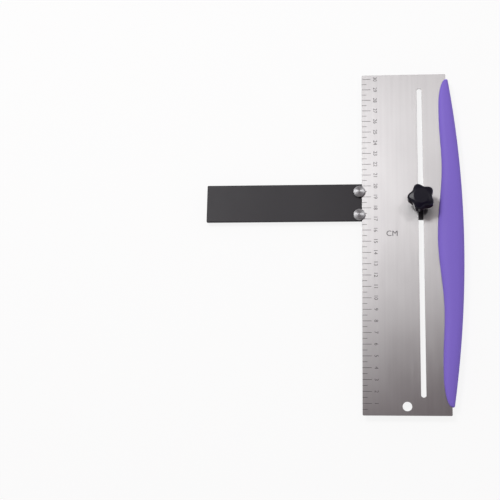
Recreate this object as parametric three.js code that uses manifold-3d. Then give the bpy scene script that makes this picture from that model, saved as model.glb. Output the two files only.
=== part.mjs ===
// Adjustable cake scraper: a ruled steel blade with a moulded handle along one edge, and a smoothing arm
// that slides along the blade's slot and is clamped where it is wanted by a star knob.
//
// Millimetres. X runs across the blade towards the handle, Y from the foot edge to the top edge, and Z out
// of the ruled face. The origin is the middle of the foot edge, at half the blade's thickness.

import * as THREE from "three";
import { mergeVertices } from "three/addons/utils/BufferGeometryUtils.js";
import Module from "manifold-3d";

const wasm = await Module();
wasm.setup();

// Driving dimensions: clearances
const FIT_GAP = 0.15; // between pieces that are fixed to each other
const SLIDE_GAP = 0.25; // between pieces that slide or turn on each other
const THREAD_GAP = 0.2; // between plain cylinders that stand for mating threads
const CUT_MARGIN = 1; // how far a cutting solid runs past the piece that it cuts

// Driving dimensions: blade
const BLADE_LENGTH = 303.7;
const BLADE_WIDTH = 73.7;
const BLADE_THICKNESS = 1;
const BLADE_CORNER_RADIUS = 1;
const HANG_HOLE_DIAMETER = 7.8;
const HANG_HOLE_MARGIN = 3.75; // metal left between the hang hole and the foot edge
const SLOT_FOOT_MARGIN = 15.1; // from the foot edge to the slot's lower end
const SLOT_TOP_MARGIN = 13.5; // from the top edge to the slot's upper end
const SLOT_CLEARANCE = 0.2; // on each side of the clamp bolt

// Driving dimensions: handle
const HANDLE_FOOT_MARGIN = 7.1; // from the foot edge to the handle's lower end
const HANDLE_TOP_MARGIN = 5.3; // from the top edge to the handle's upper end
const HANDLE_THICKNESS = 14;
const HANDLE_REACH = 12.95; // past the blade's edge, at the handle's middle
const HANDLE_END_REACH = 1.9; // past the blade's edge, at both ends
const HANDLE_MIDDLE_LAP = 9.35; // over the blade, at the middle crest
const HANDLE_OUTER_LAP = 6.65; // over the blade, at the crests near the ends
const HANDLE_WAIST_LAP = 4.9; // over the blade, between crests
const HANDLE_CREST_PITCH = 112; // from the middle crest to each outer one
const HANDLE_WAIST_PLACE = 0.58; // where a waist lies between two crests, as a share of their pitch
const HANDLE_END_TAPER = 26; // length over which the lap is rounded off at each end
const HANDLE_SQUARENESS = 2.6; // exponent of the superelliptic section, where 2 is an ellipse
const HANDLE_WALL = 1.8;
const HANDLE_CAVITY_MARGIN = 42; // solid length at each end of the shells

// Driving dimensions: handle screws, one at each crest
const SCREW_DIAMETER = 2.9;
const SCREW_TIP_LENGTH = 1.2;
const SCREW_HEAD_DIAMETER = 5;
const SCREW_HEAD_HEIGHT = 1.5;
const SCREW_RECESS_SPAN = 2.8;
const SCREW_RECESS_WIDTH = 0.7;
const SCREW_RECESS_DEPTH = 0.8;
const SCREW_SKIN = 1.2; // plastic left over a screw's tip
const BOSS_WALL = 1.3;

// Driving dimensions: arm
const ARM_REACH = 135.3; // past the blade's scraping edge
const ARM_WIDTH = 33.45;
const ARM_RISE = 1.2; // from the line of the bolt and rivets up to the arm's middle
const ARM_THICKNESS = 3;
const ARM_CORNER_RADIUS = 1;
const ARM_EDGE_ROUND = 0.5;
const ARM_TAIL_WIDTH = 29.4; // behind the blade, centred on the bolt
const ARM_TAIL_START = 8; // from the blade's scraping edge to where the tail begins
const ARM_TAIL_CLEARANCE = 2.8; // from the arm's hidden end to the handle
const ARM_DROP = 103.75; // from the upper end of the bolt's travel to where the arm is set

// Driving dimensions: guide rivets, which hold the arm square to the scraping edge
const RIVET_SHOULDER_DIAMETER = 4;
const RIVET_HEAD_DIAMETER = 10;
const RIVET_HEAD_HEIGHT = 2.6;
const RIVET_HEAD_RIM = 0.5; // straight edge below the dome
const RIVET_TAIL_DIAMETER = 3;
const RIVET_TAIL_HEAD_DIAMETER = 5.6;
const RIVET_TAIL_HEAD_HEIGHT = 1.2;
const RIVET_PITCH = 21;
const RIVET_WASHER_DIAMETER = 8;
const RIVET_WASHER_THICKNESS = 0.6;

// Driving dimensions: clamp
const BOLT_DIAMETER = 3.9;
const BOLT_HEAD_DIAMETER = 10;
const BOLT_HEAD_HEIGHT = 2.3;
const BOLT_NECK_SHORTFALL = 0.6; // arm thickness that the square neck leaves free
const BOLT_END_CLEARANCE = 1.2; // from the bolt's end to the top of the insert
const BOLT_POINT_CHAMFER = 0.5;
const WASHER_DIAMETER = 14;
const WASHER_THICKNESS = 1;
const WASHER_CLEARANCE = 0.3; // around the bolt

// Driving dimensions: star knob
const KNOB_LOBES = 5;
const KNOB_TIP_RADIUS = 11.8;
const KNOB_VALLEY_RADIUS = 9.1;
const KNOB_HEAD_HEIGHT = 11;
const KNOB_CROWN_FALL = 2.4; // from the middle of the domed top to the circle of the lobes' tips
const KNOB_TOP_ROUND = 2.2;
const KNOB_UNDER_ROUND = 1.2;
const KNOB_HUB_DIAMETER = 12.6;
const KNOB_HUB_HEIGHT = 7.4;
const KNOB_SWING_CLEARANCE = 2.15; // from the lobes' circle to the handle, across the blade
const KNOB_REST_TURN = THREE.MathUtils.degToRad(38.3); // where a lobe points when the clamp is tight
const INSERT_DIAMETER = 6.6;
const INSERT_RECESS = 0.3; // from the hub's face up to the insert
const INSERT_COVER = 7; // from the insert's upper end to the top of the knob

// How finely round shapes are drawn
const FINE_SIDES = 28;
const PLAIN_SIDES = 24;
const PLATE_ARC_STEPS = 12;
const DOME_STEPS = 5;
const ROUND_STEPS = 4;
const LOBE_STEPS = 10;
const CROWN_SHARES = [0.7, 0.4]; // rings of the knob's top, as shares of its shoulder's outline
const HANDLE_STATIONS = 30;
const HANDLE_ARC_STEPS = 9;

// Places worked out from the driving dimensions
const bladeFrontZ = BLADE_THICKNESS / 2;
const bladeBackZ = -BLADE_THICKNESS / 2;
const scrapingEdgeX = -BLADE_WIDTH / 2;
const handleEdgeX = BLADE_WIDTH / 2;
const hangHoleY = HANG_HOLE_MARGIN + HANG_HOLE_DIAMETER / 2;
const slotWidth = BOLT_DIAMETER + 2 * SLOT_CLEARANCE;
const slotX = handleEdgeX - HANDLE_MIDDLE_LAP - KNOB_SWING_CLEARANCE - KNOB_TIP_RADIUS;
const slotFootCentreY = SLOT_FOOT_MARGIN + slotWidth / 2;
const slotTopCentreY = BLADE_LENGTH - SLOT_TOP_MARGIN - slotWidth / 2;

const handleFootY = HANDLE_FOOT_MARGIN;
const handleTopY = BLADE_LENGTH - HANDLE_TOP_MARGIN;
const handleMiddleY = (handleFootY + handleTopY) / 2;
const handleHalfLength = (handleTopY - handleFootY) / 2;
const screwX = handleEdgeX - HANDLE_OUTER_LAP / 2;
const screwHoleDiameter = SCREW_DIAMETER + 2 * FIT_GAP;
const screwPlaces = [
  ["lower", handleMiddleY - HANDLE_CREST_PITCH],
  ["middle", handleMiddleY],
  ["upper", handleMiddleY + HANDLE_CREST_PITCH],
];

const armY = slotTopCentreY - ARM_DROP;
const armFrontZ = bladeBackZ - SLIDE_GAP;
const armBackZ = armFrontZ - ARM_THICKNESS;
const armEndX = scrapingEdgeX - ARM_REACH;
const armTailX = handleEdgeX - HANDLE_MIDDLE_LAP - ARM_TAIL_CLEARANCE;
const rivetX = scrapingEdgeX - SLIDE_GAP - RIVET_SHOULDER_DIAMETER / 2;
const rivetPlaces = [
  ["lower", -RIVET_PITCH / 2],
  ["upper", RIVET_PITCH / 2],
];

const washerBaseZ = bladeFrontZ + SLIDE_GAP;
const knobBaseZ = washerBaseZ + WASHER_THICKNESS + SLIDE_GAP;
const knobHeight = KNOB_HUB_HEIGHT + KNOB_HEAD_HEIGHT;
const insertLength = knobHeight - INSERT_COVER - INSERT_RECESS;
const boltEndZ = knobBaseZ + INSERT_RECESS + insertLength - BOLT_END_CLEARANCE;

// Where the screws' heads sit and how far their tips go, set by the handle's thinnest crest
const heightAtCrests = (x) => Math.min(...screwPlaces.map(([, y]) => handleHeight(x, y)));
const screwSeatZ = SCREW_HEAD_HEIGHT - heightAtCrests(screwX - SCREW_HEAD_DIAMETER / 2);
const screwTipZ = heightAtCrests(screwX) - SCREW_SKIN - FIT_GAP;

// Materials, by what each piece is made of
function material(color, roughness, metalness) {
  return new THREE.MeshStandardMaterial({ color, roughness, metalness });
}
const brushedSteel = material(0xc9c7c8, 0.35, 1);
const polishedSteel = material(0xd4d4d6, 0.15, 1);
const zincedSteel = material(0xa9abb0, 0.35, 1);
const brass = material(0xb8963e, 0.35, 1);
const violetPlastic = material(0x7d67c1, 0.45, 0);
const armPlastic = material(0x454347, 0.5, 0);
const knobPlastic = material(0x201e27, 0.3, 0);

// A closed three.js geometry as a manifold solid, and back.
function solidOf(geometry) {
  const bare = geometry.clone();
  bare.deleteAttribute("normal");
  bare.deleteAttribute("uv");
  const merged = mergeVertices(bare);
  const vertProperties = new Float32Array(merged.getAttribute("position").array);
  const triVerts = new Uint32Array(merged.index.array);
  return new wasm.Manifold(new wasm.Mesh({ numProp: 3, vertProperties, triVerts }));
}

function geometryOf(solid) {
  const { vertProperties, triVerts } = solid.getMesh();
  const geometry = new THREE.BufferGeometry();
  geometry.setAttribute("position", new THREE.BufferAttribute(vertProperties, 3));
  geometry.setIndex(new THREE.BufferAttribute(triVerts, 1));
  geometry.computeVertexNormals();
  return geometry;
}

// A named mesh, set at a place in its group.
function piece(name, geometry, finish, x = 0, y = 0, z = 0) {
  const mesh = new THREE.Mesh(geometry, finish);
  mesh.name = name;
  mesh.position.set(x, y, z);
  return mesh;
}

// A solid turned about Z from [radius, z] pairs that run from the bottom of the axis to its top.
function turned(profile, sides) {
  const points = profile.map(([radius, z]) => new THREE.Vector2(radius, z));
  return new THREE.LatheGeometry(points, sides).rotateX(Math.PI / 2);
}

// A flat ring with its lower face at z = 0.
function washer(outerDiameter, boreDiameter, thickness, sides) {
  const inner = boreDiameter / 2;
  const outer = outerDiameter / 2;
  return turned(
    [
      [inner, 0],
      [outer, 0],
      [outer, thickness],
      [inner, thickness],
      [inner, 0],
    ],
    sides,
  );
}

// A round rod from one height to another, as a solid for cutting and joining.
function rod(diameter, x, y, fromZ, toZ, sides) {
  const geometry = new THREE.CylinderGeometry(diameter / 2, diameter / 2, toZ - fromZ, sides);
  return solidOf(geometry.rotateX(Math.PI / 2).translate(x, y, (fromZ + toZ) / 2));
}

// A block between two corners, as a solid for cutting and joining.
function block(fromX, fromY, fromZ, toX, toY, toZ) {
  const geometry = new THREE.BoxGeometry(toX - fromX, toY - fromY, toZ - fromZ);
  return solidOf(geometry.translate((fromX + toX) / 2, (fromY + toY) / 2, (fromZ + toZ) / 2));
}

// A quarter of an ellipse as [radius, z] pairs, from its rim up to its crown on the axis.
function dome(radius, baseZ, height) {
  return Array.from({ length: DOME_STEPS + 1 }, (_, i) => {
    const angle = (i / DOME_STEPS) * (Math.PI / 2);
    const reach = i === DOME_STEPS ? 0 : radius * Math.cos(angle);
    return [reach, baseZ + height * Math.sin(angle)];
  });
}

// A rectangle with rounded corners, as a shape.
function roundedRectangle(fromX, fromY, toX, toY, radius) {
  const quarter = Math.PI / 2;
  const shape = new THREE.Shape();
  shape.absarc(toX - radius, fromY + radius, radius, -quarter, 0);
  shape.absarc(toX - radius, toY - radius, radius, 0, quarter);
  shape.absarc(fromX + radius, toY - radius, radius, quarter, 2 * quarter);
  shape.absarc(fromX + radius, fromY + radius, radius, 2 * quarter, 3 * quarter);
  return shape;
}

// A closed skin over rings that have the same number of points, with a cap at each end. The rings run
// anticlockwise as seen from the end that they lead to.
function loft(rings) {
  const count = rings[0].length;
  const points = rings.flat();
  const faces = [];
  for (let ring = 0; ring + 1 < rings.length; ring++) {
    for (let i = 0; i < count; i++) {
      const here = ring * count + i;
      const next = ring * count + ((i + 1) % count);
      faces.push(here, next, next + count, here, next + count, here + count);
    }
  }
  for (const [ring, isLast] of [[0, false], [rings.length - 1, true]]) {
    const centre = points.length;
    const total = rings[ring].reduce((sum, point) => sum.add(point), new THREE.Vector3());
    points.push(total.divideScalar(count));
    for (let i = 0; i < count; i++) {
      const here = ring * count + i;
      const next = ring * count + ((i + 1) % count);
      faces.push(...(isLast ? [centre, here, next] : [centre, next, here]));
    }
  }
  return new THREE.BufferGeometry().setFromPoints(points).setIndex(faces);
}

// The blade: a flat plate with the arm's slot, a hang hole and the handle's screw holes.
function blade() {
  const outline = roundedRectangle(scrapingEdgeX, 0, handleEdgeX, BLADE_LENGTH, BLADE_CORNER_RADIUS);
  const slot = new THREE.Path();
  slot.absarc(slotX, slotTopCentreY, slotWidth / 2, 0, Math.PI);
  slot.absarc(slotX, slotFootCentreY, slotWidth / 2, Math.PI, 2 * Math.PI);
  slot.closePath();
  const hangHole = new THREE.Path().absarc(0, hangHoleY, HANG_HOLE_DIAMETER / 2, 0, 2 * Math.PI);
  const screwHoles = screwPlaces.map(([, y]) =>
    new THREE.Path().absarc(screwX, y, screwHoleDiameter / 2, 0, 2 * Math.PI),
  );
  outline.holes.push(slot, hangHole, ...screwHoles);
  const plate = new THREE.ExtrudeGeometry(outline, {
    depth: BLADE_THICKNESS,
    bevelEnabled: false,
    curveSegments: PLATE_ARC_STEPS,
  });
  return piece("blade", plate, brushedSteel, 0, 0, bladeBackZ);
}

// How far the handle laps over the blade at a height: crests at the screws, waists between them, and a
// quarter ellipse that rounds the lap off at each end.
function handleLap(y) {
  const fromMiddle = Math.abs(y - handleMiddleY);
  const waistAt = HANDLE_CREST_PITCH * HANDLE_WAIST_PLACE;
  const ease = (from, to, share) => from + ((to - from) * (1 - Math.cos(Math.PI * share))) / 2;
  const inner = ease(HANDLE_MIDDLE_LAP, HANDLE_WAIST_LAP, Math.min(fromMiddle / waistAt, 1));
  const outerShare = (fromMiddle - waistAt) / (HANDLE_CREST_PITCH - waistAt);
  const outer = ease(HANDLE_WAIST_LAP, HANDLE_OUTER_LAP, THREE.MathUtils.clamp(outerShare, 0, 1));
  const lap = fromMiddle < waistAt ? inner : outer;
  const intoTaper = Math.max(0, fromMiddle - (handleHalfLength - HANDLE_END_TAPER)) / HANDLE_END_TAPER;
  return lap * Math.sqrt(Math.max(0, 1 - intoTaper * intoTaper));
}

// How far the handle stands past the blade's edge at a height: a circular bow.
function handleReach(y) {
  const rise = HANDLE_REACH - HANDLE_END_REACH;
  const radius = (handleHalfLength ** 2 + rise ** 2) / (2 * rise);
  return HANDLE_REACH - radius + Math.sqrt(radius ** 2 - (y - handleMiddleY) ** 2);
}

// The handle's section at a height: its middle, half its width and half its thickness.
function handleSection(y) {
  const lap = handleLap(y);
  const reach = handleReach(y);
  const share = (lap + reach) / (HANDLE_MIDDLE_LAP + HANDLE_REACH);
  return {
    middleX: handleEdgeX + (reach - lap) / 2,
    halfWidth: (lap + reach) / 2,
    halfThickness: (HANDLE_THICKNESS / 2) * Math.sqrt(share),
  };
}

// The handle's surface height above the blade's middle plane at a point.
function handleHeight(x, y) {
  const { middleX, halfWidth, halfThickness } = handleSection(y);
  const across = Math.abs(x - middleX) / halfWidth;
  return halfThickness * (1 - across ** HANDLE_SQUARENESS) ** (1 / HANDLE_SQUARENESS);
}

// One ring of half the handle: a superelliptic arch on the front (side 1) or the rear (side -1), drawn in
// by an inset, whose feet stand at parting, measured outwards from the blade's middle plane.
function handleRing(y, side, inset, parting) {
  const { middleX, halfWidth, halfThickness } = handleSection(y);
  const bend = (value) => Math.sign(value) * Math.abs(value) ** (2 / HANDLE_SQUARENESS);
  const ring = Array.from({ length: HANDLE_ARC_STEPS + 1 }, (_, step) => {
    const angle = (1 - step / HANDLE_ARC_STEPS) * Math.PI;
    const isFoot = step === 0 || step === HANDLE_ARC_STEPS;
    const x = middleX + (halfWidth - inset) * bend(Math.cos(angle));
    const rise = isFoot ? parting : (halfThickness - inset) * bend(Math.sin(angle));
    return new THREE.Vector3(x, y, side * rise);
  });
  return side > 0 ? ring : ring.reverse();
}

// Half of the handle's form, or of its cavity where it is inset by the wall and stops short of both ends.
// Its rings stand closer together towards the ends.
function handleHalf(side, inset, endMargin, parting) {
  const halfLength = handleHalfLength - endMargin;
  const rings = Array.from({ length: HANDLE_STATIONS + 1 }, (_, station) => {
    const y = handleMiddleY - halfLength * Math.cos((station / HANDLE_STATIONS) * Math.PI);
    return handleRing(y, side, inset, parting);
  });
  return solidOf(loft(rings));
}

// A handle shell: half of the handle's form, hollow, with a pocket for the blade and a boss round each
// screw.
function handleShell(name, side) {
  const form = handleHalf(side, 0, 0, FIT_GAP / 2);
  const cavity = handleHalf(side, HANDLE_WALL, HANDLE_CAVITY_MARGIN, -CUT_MARGIN);
  const pocketZ = bladeFrontZ + FIT_GAP;
  const farZ = HANDLE_THICKNESS;
  const level = (from, to) => (side > 0 ? [from, to] : [-to, -from]);
  const bossDiameter = screwHoleDiameter + 2 * BOSS_WALL;
  let shell = form.subtract(cavity);
  for (const [, y] of screwPlaces) {
    const boss = rod(bossDiameter, screwX, y, ...level(pocketZ, farZ), PLAIN_SIDES);
    shell = shell.add(boss.intersect(form));
  }
  const [pocketFrom, pocketTo] = level(-CUT_MARGIN, pocketZ);
  const pocketLength = BLADE_LENGTH + CUT_MARGIN;
  const edge = handleEdgeX + FIT_GAP;
  shell = shell.subtract(block(scrapingEdgeX, -CUT_MARGIN, pocketFrom, edge, pocketLength, pocketTo));
  for (const [, y] of screwPlaces) {
    const depth = side > 0 ? screwTipZ + FIT_GAP : farZ;
    shell = shell.subtract(rod(screwHoleDiameter, screwX, y, ...level(-CUT_MARGIN, depth), PLAIN_SIDES));
    if (side < 0) {
      const counterbore = SCREW_HEAD_DIAMETER + 2 * FIT_GAP;
      shell = shell.subtract(rod(counterbore, screwX, y, -farZ, screwSeatZ, PLAIN_SIDES));
    }
  }
  return piece(name, geometryOf(shell), violetPlastic);
}

// A handle screw: a pan head with a cross recess at the rear, and a pointed shank that ends in the front
// shell.
function handleScrew(name, y) {
  const headZ = screwSeatZ - FIT_GAP;
  const radius = SCREW_DIAMETER / 2;
  const headRadius = SCREW_HEAD_DIAMETER / 2;
  const body = turned(
    [
      [0, headZ - SCREW_HEAD_HEIGHT],
      [headRadius - SCREW_HEAD_HEIGHT / 2, headZ - SCREW_HEAD_HEIGHT],
      [headRadius, headZ - SCREW_HEAD_HEIGHT / 2],
      [headRadius, headZ],
      [radius, headZ],
      [radius, screwTipZ - SCREW_TIP_LENGTH],
      [0, screwTipZ],
    ],
    PLAIN_SIDES,
  );
  const faceZ = headZ - SCREW_HEAD_HEIGHT;
  const span = SCREW_RECESS_SPAN / 2;
  const width = SCREW_RECESS_WIDTH / 2;
  const floorZ = faceZ + SCREW_RECESS_DEPTH;
  const recess = block(-span, -width, faceZ - CUT_MARGIN, span, width, floorZ).add(
    block(-width, -span, faceZ - CUT_MARGIN, width, span, floorZ),
  );
  return piece(name, geometryOf(solidOf(body).subtract(recess)), zincedSteel, screwX, y);
}

// The arm's outline about the line of the bolt and rivets: a strip that narrows to its tail behind the blade.
function armOutline() {
  const radius = ARM_CORNER_RADIUS;
  const quarter = Math.PI / 2;
  const low = ARM_RISE - ARM_WIDTH / 2;
  const high = ARM_RISE + ARM_WIDTH / 2;
  const tail = ARM_TAIL_WIDTH / 2;
  const shoulderX = scrapingEdgeX + ARM_TAIL_START;
  const shape = new THREE.Shape();
  shape.moveTo(shoulderX, -tail);
  shape.absarc(armTailX - radius, -tail + radius, radius, -quarter, 0);
  shape.absarc(armTailX - radius, tail - radius, radius, 0, quarter);
  shape.lineTo(shoulderX, tail);
  shape.lineTo(shoulderX, high);
  shape.absarc(armEndX + radius, high - radius, radius, quarter, 2 * quarter);
  shape.absarc(armEndX + radius, low + radius, radius, 2 * quarter, 3 * quarter);
  shape.lineTo(shoulderX, low);
  shape.closePath();
  return shape;
}

// The arm: a flat strip behind the blade, with a square hole for the bolt's neck and round holes for the
// rivets. It is drawn about the height that it is set to.
function arm() {
  const strip = new THREE.ExtrudeGeometry(armOutline(), {
    depth: ARM_THICKNESS - 2 * ARM_EDGE_ROUND,
    bevelThickness: ARM_EDGE_ROUND,
    bevelSize: ARM_EDGE_ROUND,
    bevelOffset: -ARM_EDGE_ROUND,
    bevelSegments: ROUND_STEPS / 2,
    curveSegments: ROUND_STEPS,
  }).translate(0, 0, armBackZ + ARM_EDGE_ROUND);
  const neck = BOLT_DIAMETER / 2 + FIT_GAP;
  const low = armBackZ - CUT_MARGIN;
  const high = armFrontZ + CUT_MARGIN;
  let body = solidOf(strip).subtract(block(slotX - neck, -neck, low, slotX + neck, neck, high));
  for (const [, offset] of rivetPlaces) {
    body = body.subtract(rod(RIVET_TAIL_DIAMETER + 2 * FIT_GAP, rivetX, offset, low, high, PLAIN_SIDES));
  }
  return piece("arm", geometryOf(body), armPlastic);
}

// A guide rivet: a domed head over the blade's edge, a shoulder that the edge runs along, and a tail closed
// up behind the arm on a washer.
function guideRivet(name, offset) {
  const headZ = bladeFrontZ + SLIDE_GAP;
  const shoulder = RIVET_SHOULDER_DIAMETER / 2;
  const head = RIVET_HEAD_DIAMETER / 2;
  const tail = RIVET_TAIL_DIAMETER / 2;
  const tailHeadZ = armBackZ - 2 * FIT_GAP - RIVET_WASHER_THICKNESS;
  const tailHead = dome(RIVET_TAIL_HEAD_DIAMETER / 2, -tailHeadZ, RIVET_TAIL_HEAD_HEIGHT)
    .reverse()
    .map(([radius, depth]) => [radius, -depth]);
  const profile = [
    ...tailHead,
    [tail, tailHeadZ],
    [tail, armFrontZ + FIT_GAP],
    [shoulder, armFrontZ + FIT_GAP],
    [shoulder, headZ],
    [head, headZ],
    ...dome(head, headZ + RIVET_HEAD_RIM, RIVET_HEAD_HEIGHT - RIVET_HEAD_RIM),
  ];
  return piece(name, turned(profile, PLAIN_SIDES), polishedSteel, rivetX, offset);
}

function rivetWasher(name, offset) {
  const bore = RIVET_TAIL_DIAMETER + 2 * FIT_GAP;
  const ring = washer(RIVET_WASHER_DIAMETER, bore, RIVET_WASHER_THICKNESS, PLAIN_SIDES);
  const z = armBackZ - FIT_GAP - RIVET_WASHER_THICKNESS;
  return piece(name, ring, polishedSteel, rivetX, offset, z);
}

// The clamp bolt: a low domed head behind the arm, a square neck that keeps it from turning, and a plain
// shank in place of its thread.
function clampBolt() {
  const headZ = armBackZ - FIT_GAP;
  const head = dome(BOLT_HEAD_DIAMETER / 2, -headZ, BOLT_HEAD_HEIGHT)
    .reverse()
    .map(([radius, depth]) => [radius, -depth]);
  const radius = BOLT_DIAMETER / 2;
  const body = turned(
    [
      ...head,
      [radius, headZ],
      [radius, boltEndZ - BOLT_POINT_CHAMFER],
      [radius - BOLT_POINT_CHAMFER, boltEndZ],
      [0, boltEndZ],
    ],
    FINE_SIDES,
  );
  const neck = block(-radius, -radius, headZ - FIT_GAP, radius, radius, armFrontZ - BOLT_NECK_SHORTFALL);
  return piece("clamp_bolt", geometryOf(solidOf(body).add(neck)), zincedSteel, slotX);
}

function clampWasher() {
  const bore = BOLT_DIAMETER + 2 * WASHER_CLEARANCE;
  return piece("clamp_washer", washer(WASHER_DIAMETER, bore, WASHER_THICKNESS, FINE_SIDES), zincedSteel);
}

// One ring of the star: its lobes are a cosine wave between the valley and tip radii, drawn in by an inset
// and then to a share, and each point's height comes from its radius.
function starRing(inset, share, heightAt) {
  const count = KNOB_LOBES * LOBE_STEPS;
  const middle = (KNOB_TIP_RADIUS + KNOB_VALLEY_RADIUS) / 2;
  const wave = (KNOB_TIP_RADIUS - KNOB_VALLEY_RADIUS) / 2;
  return Array.from({ length: count }, (_, i) => {
    const angle = (i / count) * 2 * Math.PI;
    const radius = share * (middle + wave * Math.cos(KNOB_LOBES * angle) - inset);
    return new THREE.Vector3(radius * Math.cos(angle), radius * Math.sin(angle), heightAt(radius));
  });
}

// The star knob: a lobed head with a domed top and rounded edges on a round hub, with a blind pocket for the
// threaded insert.
function starKnob() {
  const quarter = (step) => ((step / ROUND_STEPS) * Math.PI) / 2;
  const steps = Array.from({ length: ROUND_STEPS + 1 }, (_, step) => step);
  const under = steps.map((step) => {
    const angle = quarter(step);
    const inset = KNOB_UNDER_ROUND * (1 - Math.sin(angle));
    return starRing(inset, 1, () => KNOB_HUB_HEIGHT + KNOB_UNDER_ROUND * (1 - Math.cos(angle)));
  });
  const domeZ = (radius) => knobHeight - KNOB_CROWN_FALL * (radius / KNOB_TIP_RADIUS) ** 2;
  const shoulder = steps.map((step) => {
    const angle = quarter(step);
    const inset = KNOB_TOP_ROUND * (1 - Math.cos(angle));
    return starRing(inset, 1, (radius) => domeZ(radius) - KNOB_TOP_ROUND * (1 - Math.sin(angle)));
  });
  const crown = CROWN_SHARES.map((share) => starRing(KNOB_TOP_ROUND, share, domeZ));
  const head = solidOf(loft([...under, ...shoulder, ...crown]));
  const hub = rod(KNOB_HUB_DIAMETER, 0, 0, 0, KNOB_HUB_HEIGHT + KNOB_HEAD_HEIGHT / 2, FINE_SIDES);
  const pocketTopZ = knobHeight - INSERT_COVER + FIT_GAP;
  const pocket = rod(INSERT_DIAMETER + 2 * FIT_GAP, 0, 0, -CUT_MARGIN, pocketTopZ, PLAIN_SIDES);
  return piece("star_knob", geometryOf(head.add(hub).subtract(pocket)), knobPlastic);
}

function knobInsert() {
  const bore = BOLT_DIAMETER + 2 * THREAD_GAP;
  const bush = washer(INSERT_DIAMETER, bore, insertLength, PLAIN_SIDES);
  return piece("knob_insert", bush, brass, 0, 0, INSERT_RECESS);
}

// The assembly: the blade with its handle, the arm set at its height, and the knob on the bolt's axis.
const bladeGroup = new THREE.Group();
bladeGroup.add(
  blade(),
  handleShell("handle_front_shell", 1),
  handleShell("handle_rear_shell", -1),
  ...screwPlaces.map(([name, y]) => handleScrew(`handle_screw_${name}`, y)),
);

const knobGroup = new THREE.Group();
knobGroup.position.set(slotX, 0, knobBaseZ);
knobGroup.rotation.z = KNOB_REST_TURN;
knobGroup.add(starKnob(), knobInsert());

const washerGroup = new THREE.Group();
washerGroup.position.set(slotX, 0, washerBaseZ);
washerGroup.add(clampWasher());

const armGroup = new THREE.Group();
armGroup.position.y = armY;
armGroup.add(
  arm(),
  ...rivetPlaces.map(([name, offset]) => guideRivet(`guide_rivet_${name}`, offset)),
  ...rivetPlaces.map(([name, offset]) => rivetWasher(`rivet_washer_${name}`, offset)),
  clampBolt(),
  washerGroup,
  knobGroup,
);

const scraper = new THREE.Group();
scraper.name = "adjustable_cake_scraper";
scraper.add(bladeGroup, armGroup);

export default scraper;
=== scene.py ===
"""Studio scene of an adjustable cake scraper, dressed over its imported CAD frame.

Metres, in the CAD frame: X runs across the blade towards the handle, Y up the blade from its foot edge, and
Z out of the ruled face. The tool lies on its back on a pale floor.
"""

from __future__ import annotations

import logging
import math
from dataclasses import dataclass, field
from enum import Enum
from functools import cache
from typing import Sequence

import bmesh
import bpy
import numpy as np
import numpy.typing as npt
from mathutils import Matrix, Vector


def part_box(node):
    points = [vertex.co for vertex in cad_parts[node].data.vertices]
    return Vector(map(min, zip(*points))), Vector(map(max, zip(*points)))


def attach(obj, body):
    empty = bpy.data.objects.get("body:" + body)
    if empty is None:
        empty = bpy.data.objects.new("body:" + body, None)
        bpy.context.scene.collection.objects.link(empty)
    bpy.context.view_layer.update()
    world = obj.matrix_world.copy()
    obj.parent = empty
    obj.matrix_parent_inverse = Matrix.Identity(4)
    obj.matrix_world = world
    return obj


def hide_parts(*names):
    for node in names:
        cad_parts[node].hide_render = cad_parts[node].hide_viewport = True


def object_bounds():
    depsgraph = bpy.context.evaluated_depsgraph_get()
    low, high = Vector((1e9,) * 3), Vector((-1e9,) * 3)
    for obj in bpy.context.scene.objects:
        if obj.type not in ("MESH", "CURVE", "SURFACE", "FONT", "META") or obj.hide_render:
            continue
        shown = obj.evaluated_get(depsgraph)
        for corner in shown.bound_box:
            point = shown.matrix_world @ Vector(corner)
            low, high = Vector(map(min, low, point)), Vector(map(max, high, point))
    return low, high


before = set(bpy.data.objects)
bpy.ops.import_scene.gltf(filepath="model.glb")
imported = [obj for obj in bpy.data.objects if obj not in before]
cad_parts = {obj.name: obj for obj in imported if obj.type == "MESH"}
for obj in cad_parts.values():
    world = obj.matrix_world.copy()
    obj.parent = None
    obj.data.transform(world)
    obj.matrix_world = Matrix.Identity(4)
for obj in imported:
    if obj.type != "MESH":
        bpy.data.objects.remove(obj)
CAD_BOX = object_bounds()

LOG = logging.getLogger("cake_scraper")
MM = 0.001
CENTIMETRE = 10.0 * MM
WELD = 1e-7
LEVEL_NORMAL = 0.9999
NOISE_RANGE = (0.3, 0.7)
QUARTER_TURN = 0.25
# The colour sockets of a Mix node, which share their names with its other sockets.
MIX_FIRST, MIX_SECOND, MIX_RESULT = 6, 7, 2

SCREW_NODES = ("handle_screw_lower", "handle_screw_middle", "handle_screw_upper")
RIVET_NODES = ("guide_rivet_lower", "guide_rivet_upper")
RIVET_WASHER_NODES = ("rivet_washer_lower", "rivet_washer_upper")

Array = npt.NDArray[np.float64]
Colour = tuple[float, float, float]
PerMetre = tuple[float, float, float]
Socket = bpy.types.NodeSocket


class Body(Enum):
    """The CAD bodies that pieces ride on."""

    BLADE = "blade"
    ARM = "arm"
    WASHER = "washer"
    KNOB = "knob"


class Side(Enum):
    """The two halves of the handle, by the way that they face along Z."""

    FRONT = 1
    REAR = -1


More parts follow.
